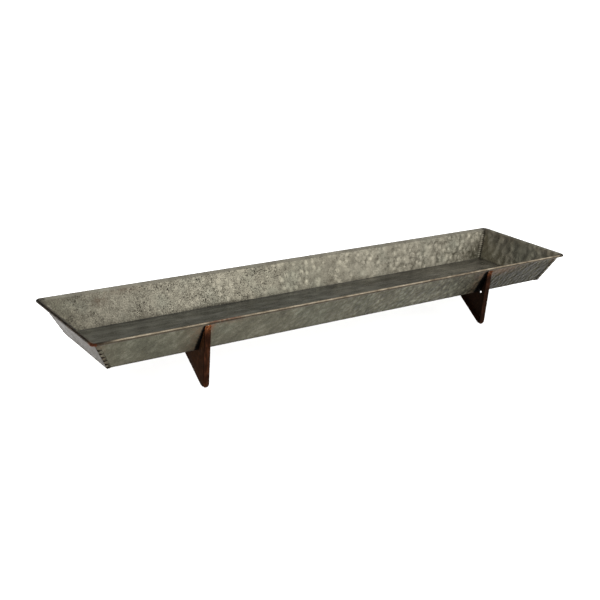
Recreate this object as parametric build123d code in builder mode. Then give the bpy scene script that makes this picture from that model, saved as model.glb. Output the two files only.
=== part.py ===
"""A long galvanised trough feeder on two iron stands.

The tray is a folded sheet channel closed by two end panels. Every rim is rolled
outwards around one steel wire. Each stand is a bent flat bar with two web plates,
tacked to the tray under the rim.

Frame: millimetres, +X along the tray, +Y to the rear, +Z up, origin on the floor
under the centre of the tray.
"""

from build123d import *
from math import cos, hypot, radians, sin, tan
import os

# ---------------------------------------------------------------- driving sizes
overall_length = 1016.0
overall_width = 228.6
bead_diameter = 5.0
sheet = 0.9
tray_underside = 61.5
bead_rise = 54.5
bottom_length = 940.0
bottom_width = 165.3
long_wall_lean = 22.5
end_wall_lean = 29.6
bend_radius = 2.0
flare_slope = 20.0
roll_angle = 280.0
wire_diameter = 2.8
wire_gap = 1.2
corner_radius = 3.0

lap_width = 5.5
crimp_pitch = 9.1
crimp_width = 3.8
crimp_length = 4.4
crimp_count = 6
first_crimp = 2.8

stand_x = 307.0
strap_width = 11.4
strap = 2.0
strap_top = 110.6
strap_knee = 103.6
foot_corner_y = 97.7
foot_corner_z = -0.6
foot_bend = 1.5
seat_half = 10.0
web = 2.5
web_top = 98.6
web_gap = 0.3
web_seat_gap = 6.0
left_notch = 1.5
right_notch = 5.0
tack_length = 8.0
tack_height = 3.4

# ---------------------------------------------------------------- derived sizes
bead_radius = bead_diameter / 2
bead_x = overall_length / 2 - bead_radius
bead_y = overall_width / 2 - bead_radius
bead_z = tray_underside + bead_rise
half_length = bottom_length / 2
half_width = bottom_width / 2
floor_mid = tray_underside + sheet / 2
mid_roll = bead_radius - sheet / 2
long_slope = tan(radians(long_wall_lean))
end_slope = tan(radians(end_wall_lean))


def wall_y(z):
    """Y of the outer face of the long wall at height z."""
    return half_width + long_slope * (z - tray_underside)


def wall_path(half_base, lean, bead_at):
    """Mid-sheet points of one wall: foot, top of the wall, and the flare's end on the roll."""
    slope = tan(radians(lean))
    mid_base = half_base - sheet / 2 / cos(radians(lean))
    foot = (mid_base + slope * sheet / 2, floor_mid)
    tangent = radians(90 + flare_slope)
    flare_end = (bead_at + mid_roll * cos(tangent), bead_z + mid_roll * sin(tangent))
    rise = tan(radians(flare_slope))
    climb = (flare_end[1] - tray_underside + rise * (mid_base - flare_end[0])) / (1 - rise * slope)
    wall_top = (mid_base + slope * climb, tray_underside + climb)
    return foot, wall_top, flare_end


def end_plane(side, inset):
    """The plane of an end panel's outer face moved inwards by inset; its normal points out."""
    lean = radians(end_wall_lean)
    x = side * (half_length - inset / cos(lean))
    return Plane(origin=(x, 0, tray_underside), z_dir=(side * cos(lean), 0, -sin(lean)))


def side_plane(side, outset):
    """The plane of a long wall's outer face moved outwards by outset; its normal points out."""
    lean = radians(long_wall_lean)
    y = side * (half_width + outset / cos(lean))
    return Plane(origin=(0, y, tray_underside), z_dir=(0, side * cos(lean), -sin(lean)))


def rim_zone(long_sides, floor_z):
    """Space above floor_z that the long rolls, or the end rolls, fill up to their mitres."""
    reach = 2 * bead_diameter
    inner = bead_x - bead_y
    with BuildPart() as zone:
        with BuildSketch(Plane.XY.offset(floor_z)):
            RectangleRounded(overall_length, overall_width, corner_radius)
            with BuildLine():
                Polyline(
                    (-bead_x - reach, -bead_y - reach),
                    (bead_x + reach, -bead_y - reach),
                    (inner, 0),
                    (bead_x + reach, bead_y + reach),
                    (-bead_x - reach, bead_y + reach),
                    (-inner, 0),
                    close=True,
                )
            make_face(mode=Mode.INTERSECT if long_sides else Mode.SUBTRACT)
        extrude(amount=2 * bead_diameter)
    return zone.part


os.makedirs("parts", exist_ok=True)

# ---------------------------------------------------------------- tray body
# Floor and both long walls are one folded sheet, rolled outwards along the top.
foot, wall_top, flare_end = wall_path(half_width, long_wall_lean, bead_y)
with BuildPart() as long_fold:
    with BuildSketch(Plane.YZ):
        with BuildLine():
            fold = Polyline((0, floor_mid), foot, wall_top, flare_end)
            fillet(fold.vertices()[1:3], radius=bend_radius)
            CenterArc((bead_y, bead_z), mid_roll, 90 + flare_slope, -roll_angle)
        trace(line_width=sheet)
        mirror(about=Plane.YZ)
    extrude(amount=overall_length / 2, both=True)

with BuildPart() as long_rolls:
    add(long_fold.part)
    add(rim_zone(True, wall_top[1] - sheet), mode=Mode.INTERSECT)

with BuildPart() as tray_body:
    add(long_fold.part)
    for side in (-1, 1):
        split(bisect_by=end_plane(side, sheet), keep=Keep.BOTTOM)
    add(long_rolls.part)

# ---------------------------------------------------------------- end panels
# The lap that folds round the long walls and under the floor.
with BuildPart() as end_lap:
    lap_foot = half_width + sheet / 2 * tan(radians(45 - long_wall_lean / 2))
    lap_top = wall_top[1] - 2 * sheet
    lap_top_y = wall_y(lap_top) + sheet / 2 / cos(radians(long_wall_lean))
    lap_z = tray_underside - sheet / 2
    with BuildSketch(Plane.YZ):
        with BuildLine():
            lap = Polyline((0, lap_z), (lap_foot, lap_z), (lap_top_y, lap_top))
            fillet(lap.vertices()[1], radius=bend_radius + sheet)
        trace(line_width=sheet)
        mirror(about=Plane.YZ)
    extrude(amount=overall_length / 2)
    split(bisect_by=end_plane(1, 0), keep=Keep.BOTTOM)
    split(bisect_by=end_plane(1, lap_width), keep=Keep.TOP)

# Wedge-shaped crimps along both upright corners, each widest at the corner.
corner_lean = hypot(long_slope, end_slope)
with BuildPart() as crimps:
    for side in (-1, 1):
        for n in range(crimp_count):
            z = tray_underside + (first_crimp + n * crimp_pitch) / hypot(1, corner_lean)
            x = half_length + end_slope * (z - tray_underside)
            face = Plane(
                origin=(x + sheet, side * (wall_y(z) + 2 * sheet), z),
                x_dir=(-1, 0, 0),
                z_dir=(0, -side, 0),
            )
            with BuildSketch(face):
                with BuildLine():
                    Polyline(
                        (-sheet, -crimp_width / 2),
                        (crimp_length + sheet, 0),
                        (-sheet, crimp_width / 2),
                        close=True,
                    )
                make_face()
            extrude(amount=2 * sheet)

foot, end_top, end_flare = wall_path(half_length, end_wall_lean, bead_x)
with BuildPart() as end_fold:
    with BuildSketch(Plane.XZ):
        with BuildLine():
            rise = Polyline(foot, end_top, end_flare)
            fillet(rise.vertices()[1], radius=bend_radius)
            CenterArc((bead_x, bead_z), mid_roll, 90 + flare_slope, -roll_angle)
        trace(line_width=sheet)
    extrude(amount=overall_width / 2, both=True)

with BuildPart() as end_roll:
    add(end_fold.part)
    add(rim_zone(False, end_top[1] - sheet), mode=Mode.INTERSECT)

with BuildPart() as right_end_panel:
    add(end_fold.part)
    for side in (-1, 1):
        split(bisect_by=side_plane(side, sheet), keep=Keep.BOTTOM)
    add(end_roll.part)
    add(end_lap.part)
    add(crimps.part, mode=Mode.SUBTRACT)
    add(tray_body.part, mode=Mode.SUBTRACT)

with BuildPart() as left_end_panel:
    add(mirror(right_end_panel.part, about=Plane.YZ, mode=Mode.PRIVATE))

# ---------------------------------------------------------------- rim wire
# One wire runs inside all four rolled edges and butts at the left front corner.
with BuildPart() as rim_wire:
    with BuildLine(Plane.XY.offset(bead_z)) as wire_run:
        start = -bead_x + wire_diameter + wire_gap
        Polyline(
            (start, -bead_y),
            (bead_x, -bead_y),
            (bead_x, bead_y),
            (-bead_x, bead_y),
            (-bead_x, -bead_y),
            (start - wire_gap, -bead_y),
        )
    with BuildSketch(Plane(origin=wire_run.line @ 0, z_dir=wire_run.line % 0)):
        Circle(wire_diameter / 2)
    sweep(transition=Transition.RIGHT)

# ---------------------------------------------------------------- stands
# Middle line of the bent bar: up the leg, under the tray wall, and along the seat.
long_lean = radians(long_wall_lean)
arm_offset = strap / 2 / cos(long_lean)
bar_line = (
    (wall_y(strap_top) + arm_offset, strap_top),
    (wall_y(strap_knee) + arm_offset, strap_knee),
    (foot_corner_y, foot_corner_z),
    (seat_half, tray_underside - strap / 2),
    (0, tray_underside - strap / 2),
)


with BuildLine() as bar_run:
    bar_bends = Polyline(*bar_line)
    fillet(bar_bends.vertices().sort_by(Axis.Y)[0], radius=foot_bend)


def stand_strap(outboard_x, inward):
    """Flat bar bent into arm, foot, diagonal and seat, the same at front and rear."""
    with BuildPart() as bar:
        with BuildSketch(Plane.YZ.offset(outboard_x)):
            trace(bar_run.line, line_width=strap)
            mirror(about=Plane.YZ)
            Rectangle(
                overall_width,
                overall_width,
                align=(Align.CENTER, Align.MIN),
                mode=Mode.INTERSECT,
            )
        extrude(amount=inward * strap_width)
    return bar.part


def stand_web(outboard_x, inward, notch_radius):
    """Plate that fills the rear leg between the bar, the tray wall and the tray floor.

    A round notch clears the tray's bottom corner.
    """
    with BuildPart() as plate:
        with BuildSketch(Plane.YZ.offset(outboard_x)) as outline:
            with BuildLine():
                Polyline(
                    (wall_y(web_top) + web_gap, web_top),
                    bar_line[1],
                    bar_line[2],
                    bar_line[3],
                    (seat_half + web_seat_gap, tray_underside - web_gap),
                    (half_width + web_gap, tray_underside - web_gap),
                    close=True,
                )
            make_face()
            fillet(outline.vertices().sort_by(Axis.Y)[0], radius=foot_bend)
            trace(bar_run.line, line_width=strap, mode=Mode.SUBTRACT)
            with Locations((half_width, tray_underside)):
                Circle(notch_radius, mode=Mode.SUBTRACT)
            with Locations((0, web_top)):
                Rectangle(
                    2 * overall_width,
                    web_top,
                    align=(Align.CENTER, Align.MAX),
                    mode=Mode.INTERSECT,
                )
        extrude(amount=inward * web)
    return plate.part


def stand_tack(middle_x):
    """Weld bead in the corner between the rear arm's top end and the tray wall."""
    along = (sin(long_lean), cos(long_lean))
    out = (cos(long_lean), -sin(long_lean))
    corner = (bar_line[0][0] - out[0] * strap / 2, strap_top - out[1] * strap / 2)
    with BuildPart() as bead:
        with BuildSketch(Plane.YZ.offset(middle_x)):
            with BuildLine():
                Polyline(
                    corner,
                    (corner[0] + out[0] * strap, corner[1] + out[1] * strap),
                    (corner[0] + along[0] * tack_height, corner[1] + along[1] * tack_height),
                    close=True,
                )
            make_face()
        extrude(amount=tack_length / 2, both=True)
    return bead.part


stands = {}
for name, side, notch in (("left", -1, left_notch), ("right", 1, right_notch)):
    outboard_x = side * (stand_x + strap_width / 2)
    stands[f"{name}_stand_strap"] = stand_strap(outboard_x, -side)
    rear_web = stand_web(outboard_x, -side, notch)
    stands[f"{name}_stand_rear_web"] = rear_web
    stands[f"{name}_stand_front_web"] = mirror(rear_web, about=Plane.XZ)
    rear_tack = stand_tack(side * stand_x)
    stands[f"{name}_stand_tacks"] = Compound(
        children=[rear_tack, mirror(rear_tack, about=Plane.XZ)]
    )

# ---------------------------------------------------------------- export
tray_body.part.label = "tray_body"
export_step(tray_body.part, "parts/tray_body.step")
left_end_panel.part.label = "left_end_panel"
export_step(left_end_panel.part, "parts/left_end_panel.step")
right_end_panel.part.label = "right_end_panel"
export_step(right_end_panel.part, "parts/right_end_panel.step")
rim_wire.part.label = "rim_wire"
export_step(rim_wire.part, "parts/rim_wire.step")
for name, piece in stands.items():
    piece.label = name
    export_step(piece, f"parts/{name}.step")
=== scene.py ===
"""Looks for the trough feeder: hammered galvanised tray on two rusty iron stands.

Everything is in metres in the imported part's frame: +X along the tray, +Y to the rear,
+Z up, origin on the floor under the tray's centre.
"""

from functools import reduce
from math import atan2, cos, hypot, pi, radians, sin, tan

import bmesh
import bpy
import numpy as np
from mathutils import Matrix, Vector


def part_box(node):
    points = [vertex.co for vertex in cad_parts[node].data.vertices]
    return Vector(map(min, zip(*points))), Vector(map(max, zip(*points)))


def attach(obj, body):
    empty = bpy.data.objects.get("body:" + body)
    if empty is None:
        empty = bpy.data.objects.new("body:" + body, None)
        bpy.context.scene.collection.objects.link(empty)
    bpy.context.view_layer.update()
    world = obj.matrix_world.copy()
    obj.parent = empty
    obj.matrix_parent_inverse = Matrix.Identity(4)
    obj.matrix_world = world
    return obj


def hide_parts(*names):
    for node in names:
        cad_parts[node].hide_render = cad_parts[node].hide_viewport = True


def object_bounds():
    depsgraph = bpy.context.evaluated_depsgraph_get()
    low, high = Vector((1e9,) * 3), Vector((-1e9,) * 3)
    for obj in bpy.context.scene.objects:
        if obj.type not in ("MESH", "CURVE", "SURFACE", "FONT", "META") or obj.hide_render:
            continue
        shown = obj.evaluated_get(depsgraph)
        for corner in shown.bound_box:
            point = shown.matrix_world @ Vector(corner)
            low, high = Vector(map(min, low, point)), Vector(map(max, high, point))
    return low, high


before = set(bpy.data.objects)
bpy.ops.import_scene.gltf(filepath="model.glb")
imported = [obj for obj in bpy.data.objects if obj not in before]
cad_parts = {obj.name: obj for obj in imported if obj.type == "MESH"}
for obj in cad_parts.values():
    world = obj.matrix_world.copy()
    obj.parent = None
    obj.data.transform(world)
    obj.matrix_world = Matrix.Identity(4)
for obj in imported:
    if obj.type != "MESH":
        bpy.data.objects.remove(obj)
cad_low, cad_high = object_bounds()

# ---------------------------------------------------------------- sizes, metres
MM = 0.001
SHEET = 0.9 * MM
BEAD = 2.5 * MM
ROLL = BEAD - SHEET / 2
BEND = 2.0 * MM
CORNER = 9.0 * MM
TOE = 4.2 * MM
LONG_LEAN = radians(22.5)
END_LEAN = radians(29.6)
FLARE = radians(20)
ROLL_TURN = radians(280)
HALF_LENGTH = 0.470
HALF_WIDTH = 0.08265
BEAD_X = cad_high.x - BEAD
BEAD_Y = cad_high.y - BEAD
BEAD_Z = cad_high.z - BEAD
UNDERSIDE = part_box("tray_body")[0].z
LONG_SLOPE = tan(LONG_LEAN)
END_SLOPE = tan(END_LEAN)
LAP = 5.5 * MM
CRIMPS = 6
CRIMP_PITCH = 9.1 * MM
CRIMP_START = 2.8 * MM
# the crimps look larger in the photo than the CAD's, which are 3.8 mm by 4.4 mm
CRIMP_WIDE = 1.3 * 3.8 * MM
CRIMP_LONG = 1.3 * 4.4 * MM
BAR = 2.0 * MM
BAR_WIDE = 11.4 * MM
WEB = 2.5 * MM
STAND_X = 307 * MM
STAND_LEAN = 4.0 * MM
ARM_TOP = 110.6 * MM
KNEE = 103.6 * MM


# ---------------------------------------------------------------- repeatable randomness
def scatter(a, b, seed):
    """A random number from 0 to 1 for each pair of whole numbers."""
    mixed = np.sin(a * 127.1 + b * 311.7 + seed * 74.7) * 43758.5453
    return mixed - np.floor(mixed)


def wander(u, v, size, seed):
    """Smooth noise from -1 to 1 that changes over about one size."""
    u, v = u / size, v / size
    iu, iv = np.floor(u), np.floor(v)
    fu, fv = u - iu, v - iv
    fu, fv = fu * fu * (3 - 2 * fu), fv * fv * (3 - 2 * fv)
    low = scatter(iu, iv, seed) * (1 - fu) + scatter(iu + 1, iv, seed) * fu
    high = scatter(iu, iv + 1, seed) * (1 - fu) + scatter(iu + 1, iv + 1, seed) * fu
    return 2 * (low * (1 - fv) + high * fv) - 1


MEAN_DENT = 0.45


def hammered(u, v, size, seed):
    """Hammer marks one size apart: 0 at the middle of a mark, up to 1 on the ridges between."""
    u, v = u / size, v / size
    iu, iv = np.floor(u), np.floor(v)
    nearest = np.full(u.shape, 9.0)
    for du in (-1, 0, 1):
        for dv in (-1, 0, 1):
            cu, cv = iu + du, iv + dv
            pu = cu + 0.5 + 0.85 * (scatter(cu, cv, seed) - 0.5)
            pv = cv + 0.5 + 0.85 * (scatter(cu, cv, seed + 5) - 0.5)
            nearest = np.minimum(nearest, (u - pu) ** 2 + (v - pv) ** 2)
    return np.minimum(nearest / 0.45, 1.0)


def ease(value, start, end):
    """A smooth step from 0 at the start to 1 at the end."""
    t = np.clip((value - start) / (end - start), 0, 1)
    return t * t * (3 - 2 * t)


def near(value, middle, width):
    """1 at the middle, falling away over about one width."""
    return np.exp(-(((value - middle) / width) ** 2))


def most(*layers):
    """The largest of the layers at each point."""
    return reduce(np.maximum, layers)


# ---------------------------------------------------------------- material graphs
class Graph:
    """Short calls that build one material's nodes."""

    def __init__(self, name):
        self.mat = bpy.data.materials.new(name)
        self.mat.use_nodes = True
        self.tree = self.mat.node_tree
        self.tree.nodes.clear()
        self.place = self.add("ShaderNodeTexCoord").outputs["Object"]

    def add(self, kind, **settings):
        node = self.tree.nodes.new(kind)
        for key, value in settings.items():
            setattr(node, key, value)
        return node

    def put(self, socket, value):
        if isinstance(value, bpy.types.NodeSocket):
            self.tree.links.new(value, socket)
        else:
            socket.default_value = value

    def stretch(self, x, y, z, turn=0.0, at=None):
        """The place, squeezed along each axis and turned about Y."""
        turned = self.add("ShaderNodeMapping")
        self.put(turned.inputs["Vector"], at or self.place)
        turned.inputs["Rotation"].default_value = (0, turn, 0)
        node = self.add("ShaderNodeMapping")
        self.put(node.inputs["Vector"], turned.outputs[0])
        node.inputs["Scale"].default_value = (x, y, z)
        return node.outputs[0]

    def wobble(self, size, reach, at=None):
        """The place, shifted by noise so that patterns lose their regularity."""
        noise = self.add("ShaderNodeTexNoise")
        noise.inputs["Scale"].default_value = 1 / size
        self.put(noise.inputs["Vector"], at or self.place)
        centred = self.add("ShaderNodeVectorMath", operation="SUBTRACT")
        self.put(centred.inputs[0], noise.outputs["Color"])
        centred.inputs[1].default_value = (0.5, 0.5, 0.5)
        scaled = self.add("ShaderNodeVectorMath", operation="SCALE")
        self.put(scaled.inputs[0], centred.outputs[0])
        scaled.inputs["Scale"].default_value = reach
        moved = self.add("ShaderNodeVectorMath", operation="ADD")
        self.put(moved.inputs[0], at or self.place)
        self.put(moved.inputs[1], scaled.outputs[0])
        return moved.outputs[0]

    def noise(self, size, detail=2.0, rough=0.5, at=None):
        node = self.add("ShaderNodeTexNoise")
        self.put(node.inputs["Vector"], at or self.place)
        node.inputs["Scale"].default_value = 1 / size
        node.inputs["Detail"].default_value = detail
        node.inputs["Roughness"].default_value = rough
        return node.outputs["Fac"]

    def cells(self, size, at=None, smooth=0.0):
        """Distance to the nearest scattered point, and that point's random colour."""
        node = self.add("ShaderNodeTexVoronoi", feature="SMOOTH_F1" if smooth else "F1")
        self.put(node.inputs["Vector"], at or self.place)
        node.inputs["Scale"].default_value = 1 / size
        if smooth:
            node.inputs["Smoothness"].default_value = smooth
        return node.outputs["Distance"], node.outputs["Color"]

    def math(self, operation, a, b=0.0, clamp=False):
        node = self.add("ShaderNodeMath", operation=operation, use_clamp=clamp)
        self.put(node.inputs[0], a)
        self.put(node.inputs[1], b)
        return node.outputs[0]

    def times(self, product, *factors, clamp=False):
        for factor in factors:
            product = self.math("MULTIPLY", product, factor, clamp)
        return product

    def sum(self, base, *terms):
        """Base plus each term's distance from its centre, times its weight."""
        total = base
        for term, centre, weight in terms:
            total = self.math("ADD", self.times(self.math("SUBTRACT", term, centre), weight), total)
        return total

    def scale(self, value, low, high, to_low=0.0, to_high=1.0):
        """Value from low..high mapped to to_low..to_high and held there."""
        node = self.add("ShaderNodeMapRange", interpolation_type="SMOOTHSTEP")
        for socket, number in zip(node.inputs, (value, low, high, to_low, to_high)):
            self.put(socket, number)
        return node.outputs[0]

    def ramp(self, factor, *stops):
        node = self.add("ShaderNodeValToRGB")
        points = node.color_ramp.elements
        while len(points) < len(stops):
            points.new(0.5)
        for point, (position, colour) in zip(points, stops):
            point.position = position
            point.color = (*colour, 1)
        self.put(node.inputs[0], factor)
        return node.outputs[0]

    def blend(self, factor, a, b, mode="MIX"):
        node = self.add("ShaderNodeMix", data_type="RGBA", blend_type=mode)
        self.put(node.inputs["Factor"], factor)
        for socket, value in zip((node.inputs[6], node.inputs[7]), (a, b)):
            self.put(socket, (*value, 1) if isinstance(value, tuple) else value)
        return node.outputs[2]

    def mask(self, name):
        return self.add("ShaderNodeAttribute", attribute_name=name).outputs["Fac"]

    def bump(self, height, reach, strength):
        node = self.add("ShaderNodeBump")
        node.inputs["Strength"].default_value = strength
        node.inputs["Distance"].default_value = reach
        self.put(node.inputs["Height"], height)
        return node.outputs[0]

    def surface(self, colour, rough, metal, normal, gloss=0.5):
        shader = self.add("ShaderNodeBsdfPrincipled")
        shader.inputs["Specular IOR Level"].default_value = gloss
        self.put(shader.inputs["Base Color"], colour)
        self.put(shader.inputs["Roughness"], rough)
        self.put(shader.inputs["Metallic"], metal)
        self.put(shader.inputs["Normal"], normal)
        out = self.add("ShaderNodeOutputMaterial")
        self.put(out.inputs["Surface"], shader.outputs[0])
        return self.mat


BROWN = (0.115, 0.062, 0.030)
GRIME_AND_SHADE = (0.030, 0.024, 0.017)
BEAD_RUST = (0.13, 0.042, 0.020)
# near-black for the painted shadow beside the stand arms
GAP_SHADOW_BLACK = (0.0035, 0.003, 0.0025)
# near-black for painted shade on the stands
EDGE_SHADE_BLACK = (0.006, 0.003, 0.0018)
BARE_SPECK = (0.60, 0.50, 0.40)
COOL_TINT = (0.91, 0.98, 1.0)
WARM_TINT = (1.0, 0.88, 0.76)
SHADE_TINT = (0.245, 0.228, 0.145)
STROKE_TURN = radians(40)


def pale_spots(g):
    """Round pale spots, some fainter than others."""
    distance, chance = g.cells(0.0125, g.wobble(0.006, 0.004))
    return g.times(g.scale(distance, 0.14, 0.50, 1, 0), g.scale(chance, -0.2, 0.5))


def pinholes(g, grit):
    """Clumps of small dark holes, mostly where the sheet is gritty."""
    seed = g.scale(g.noise(0.0027, 2, 0.6), 0.35, 0.43, 1, 0)
    clump = g.scale(g.noise(0.020, 2, 0.5), 0.42, 0.60)
    return g.times(seed, clump, g.scale(grit, 0.0, 0.8, 0.10, 1.0))


def bright_dots(g, grit):
    """Small bright dots between the pinholes."""
    distance, _ = g.cells(0.0085, g.wobble(0.004, 0.002))
    clump = g.scale(g.noise(0.013), 0.5, 0.6)
    return g.times(g.scale(distance, 0.12, 0.24, 1, 0), g.scale(grit, 0.2, 0.9), clump)


def zinc(
    name, deep, tone, pale, metal=0.8, rough=0.38, marks=1.0, mark_size=0.012, clouds=1.0, streaks=False
):
    """Aged zinc: clouded grey with hammer marks and grain, then spots, stains, dirt and painted shade on
    top.
    """
    g = Graph(name)
    dimple, grit = g.mask("dimple"), g.mask("grit")
    wavy = g.wobble(0.010, 0.006)
    if streaks:
        wavy = g.stretch(0.78, 1, 1.20, STROKE_TURN, at=wavy)
    spots, _ = g.cells(mark_size, wavy, smooth=0.3)
    cloud = g.noise(0.031, 4, 0.62, at=wavy)
    grain = g.noise(0.0020, 3, 0.65)
    hole = pinholes(g, grit)
    level = g.sum(
        0.5,
        (cloud, 0.5, 1.05 * clouds),
        (g.noise(0.0095, 3, 0.55, at=wavy), 0.5, 0.60 * clouds),
        (grain, 0.5, g.scale(grit, 0, 1, 0.55, 2.5)),
        (g.scale(spots, 0.10, 0.62, 1, 0), 0.45, g.times(dimple, 0.30 if streaks else 0.22)),
    )
    height = g.sum(0.0, (spots, 0.0, g.times(dimple, marks)), (grain, 0.0, 0.22), (hole, 0.0, -0.4))
    # the strokes dent the bump, and also lighten and darken the colour as painted highlight and shade along
    # each stroke
    if streaks:
        stroke = g.noise(0.0050, 2, 0.5, at=g.stretch(0.80, 1, 1.20, STROKE_TURN))
        level = g.sum(level, (stroke, 0.5, g.times(dimple, 0.85)))
        height = g.sum(height, (stroke, 0.0, g.times(dimple, 0.9)))
    level = g.math("ADD", level, g.times(pale_spots(g), g.mask("dots"), 0.44))
    colour = g.ramp(level, (0.20, deep), (0.50, tone), (0.82, pale))
    cool = g.scale(g.noise(0.060, 3, 0.55), 0.42, 0.68, 0, 0.55)
    colour = g.blend(cool, colour, COOL_TINT, "MULTIPLY")
    colour = g.blend(g.math("MINIMUM", g.mask("shade"), 1.0), colour, SHADE_TINT, "MULTIPLY")
    colour = g.blend(hole, colour, GRIME_AND_SHADE)
    colour = g.blend(bright_dots(g, grit), colour, pale)
    stain = g.times(g.mask("stain"), g.scale(g.noise(0.0068, 4, 0.65), 0.30, 0.62))
    colour = g.blend(g.times(stain, 0.9, clamp=True), colour, BROWN)
    # the grime mask holds dirt and also painted shade: under the rim, along the bottom bend and beside the
    # arms
    crumbs = g.scale(g.noise(0.0030, 3, 0.6), 0.25, 0.6, 0.35, 1)
    crust_and_shade = g.times(g.mask("grime"), crumbs, clamp=True)
    colour = g.blend(g.times(crust_and_shade, 0.92), colour, GRIME_AND_SHADE)
    # painted shadow: where the shade mask passes 1, beside the stand arms, the wall goes near-black and
    # fully metallic, so it reflects almost nothing
    gap = g.scale(g.mask("shade"), 1.1, 1.9)
    colour = g.blend(gap, colour, GAP_SHADOW_BLACK)
    sheen = g.sum(rough, (grain, 0.5, 0.25), (cloud, 0.5, 0.35), (stain, 0.0, 0.2), (crust_and_shade, 0.0, 0.3))
    shine = g.math("SUBTRACT", metal, g.times(stain, 0.5), clamp=True)
    return g.surface(colour, sheen, g.math("MAXIMUM", shine, gap), g.bump(height, 0.0014, 0.6))


def tray_bed(name):
    """The tray's floor: dark slate with lengthwise streaks and soft ripples."""
    g = Graph(name)
    streak = g.noise(0.0050, 3, 0.6, at=g.stretch(0.10, 1, 1))
    ripple = g.noise(0.016, 3, 0.55, at=g.stretch(0.45, 1, 1))
    broad = g.noise(0.070, 3, 0.55, at=g.stretch(0.4, 1, 1))
    grain = g.noise(0.0024, 3, 0.6)
    level = g.sum(0.5, (streak, 0.5, 0.9), (ripple, 0.5, 0.8), (broad, 0.5, 0.8), (grain, 0.5, 0.4))
    deep, tone, pale = (0.140, 0.143, 0.131), (0.222, 0.227, 0.207), (0.335, 0.337, 0.303)
    colour = g.ramp(level, (0.25, deep), (0.50, tone), (0.75, pale))
    warm = g.scale(g.mask("along"), -0.10, 0.45, 0, 0.6)
    colour = g.blend(warm, colour, WARM_TINT, "MULTIPLY")
    crust_and_shade = g.times(g.mask("grime"), g.scale(grain, 0.25, 0.6, 0.4, 1), clamp=True)
    colour = g.blend(g.times(crust_and_shade, 0.92), colour, GRIME_AND_SHADE)
    spots, _ = g.cells(0.016, g.wobble(0.012, 0.006, at=g.stretch(0.5, 1, 1)), smooth=0.4)
    height = g.sum(0.0, (spots, 0.0, 0.9), (streak, 0.0, 0.5), (ripple, 0.0, 1.2), (grain, 0.0, 0.15))
    sheen = g.sum(0.30, (streak, 0.5, 0.3), (ripple, 0.5, 0.25))
    return g.surface(colour, sheen, 0.88, g.bump(height, 0.0012, 0.6))


def bead(name, dark, mid, light, shift):
    """Rolled edge: rubbed metal with dark patches where the finish has gone, darkened by dirt and by painted
    shade under the front roll.
    """
    g = Graph(name)
    patch = g.noise(0.009, 4, 0.65, at=g.stretch(0.45, 1, 1))
    grain = g.noise(0.0014, 3, 0.6)
    mix = g.math("ADD", g.times(patch, 0.75), g.times(grain, 0.25))
    colour = g.ramp(g.math("ADD", mix, shift), (0.34, dark), (0.48, mid), (0.66, light))
    rust = g.times(g.mask("stain"), g.scale(g.noise(0.005, 4, 0.7), 0.32, 0.55))
    colour = g.blend(g.times(rust, 0.9, clamp=True), colour, BEAD_RUST)
    # this mask holds dirt and the painted shade under the front roll
    crust_and_shade = g.scale(g.mask("grime"), 0.15, 0.85)
    colour = g.blend(g.times(crust_and_shade, 0.92), colour, GRIME_AND_SHADE)
    sheen = g.math("ADD", g.times(grain, 0.25), 0.34)
    shine = g.math("SUBTRACT", 0.75, g.times(rust, 0.4), clamp=True)
    return g.surface(colour, sheen, g.math("MAXIMUM", shine, crust_and_shade), g.bump(mix, 0.0006, 0.5), 0.3)


def iron(name, dark, mid, bright, orange, shift=0.0):
    """Rusty, waxed flat iron with vertical grain, orange bloom and bare specks; painted shade darkens its
    edges and the right stand.
    """
    g = Graph(name)
    grain = g.noise(0.0030, 4, 0.65, at=g.stretch(1, 1, 0.22))
    patch = g.noise(0.011, 4, 0.6)
    fine = g.noise(0.0009, 3, 0.6)
    mix = g.sum(shift, (grain, 0.0, 0.42), (patch, 0.0, 0.42), (fine, 0.0, 0.16))
    colour = g.ramp(mix, (0.34, dark), (0.50, mid), (0.68, bright))
    bloom = g.times(g.mask("bloom"), g.scale(g.noise(0.0034, 4, 0.7), 0.38, 0.60))
    colour = g.blend(g.times(bloom, 0.95, clamp=True), colour, orange)
    specks, _ = g.cells(0.0028, g.wobble(0.003, 0.002))
    speck = g.times(g.scale(specks, 0.14, 0.26, 1, 0), g.scale(g.mask("bloom"), 0.55, 0.95))
    colour = g.blend(g.times(speck, g.scale(g.noise(0.005), 0.42, 0.50)), colour, BARE_SPECK)
    # painted shade: edges turned from the light, and the whole right stand, blend towards near-black
    colour = g.blend(g.times(g.mask("edge"), 0.8), colour, EDGE_SHADE_BLACK)
    height = g.math("ADD", g.times(grain, 0.5), g.times(fine, 0.3))
    sheen = g.math("ADD", g.times(patch, 0.3), 0.55)
    return g.surface(colour, sheen, 0.0, g.bump(height, 0.0008, 0.6), 0.015)


wall_inside = zinc("aged_zinc_inside", (0.112, 0.102, 0.076), (0.215, 0.200, 0.156), (0.370, 0.345, 0.270))
rear_lip = zinc(
    "aged_zinc_rear_lip", (0.155, 0.140, 0.105), (0.240, 0.222, 0.172), (0.350, 0.325, 0.255),
    metal=0.1, rough=0.55,
)
crimp_tips = zinc(
    "bright_crimp_tips", (0.20, 0.18, 0.135), (0.33, 0.30, 0.235), (0.46, 0.42, 0.33),
    metal=0.1, rough=0.5,
)
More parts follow.
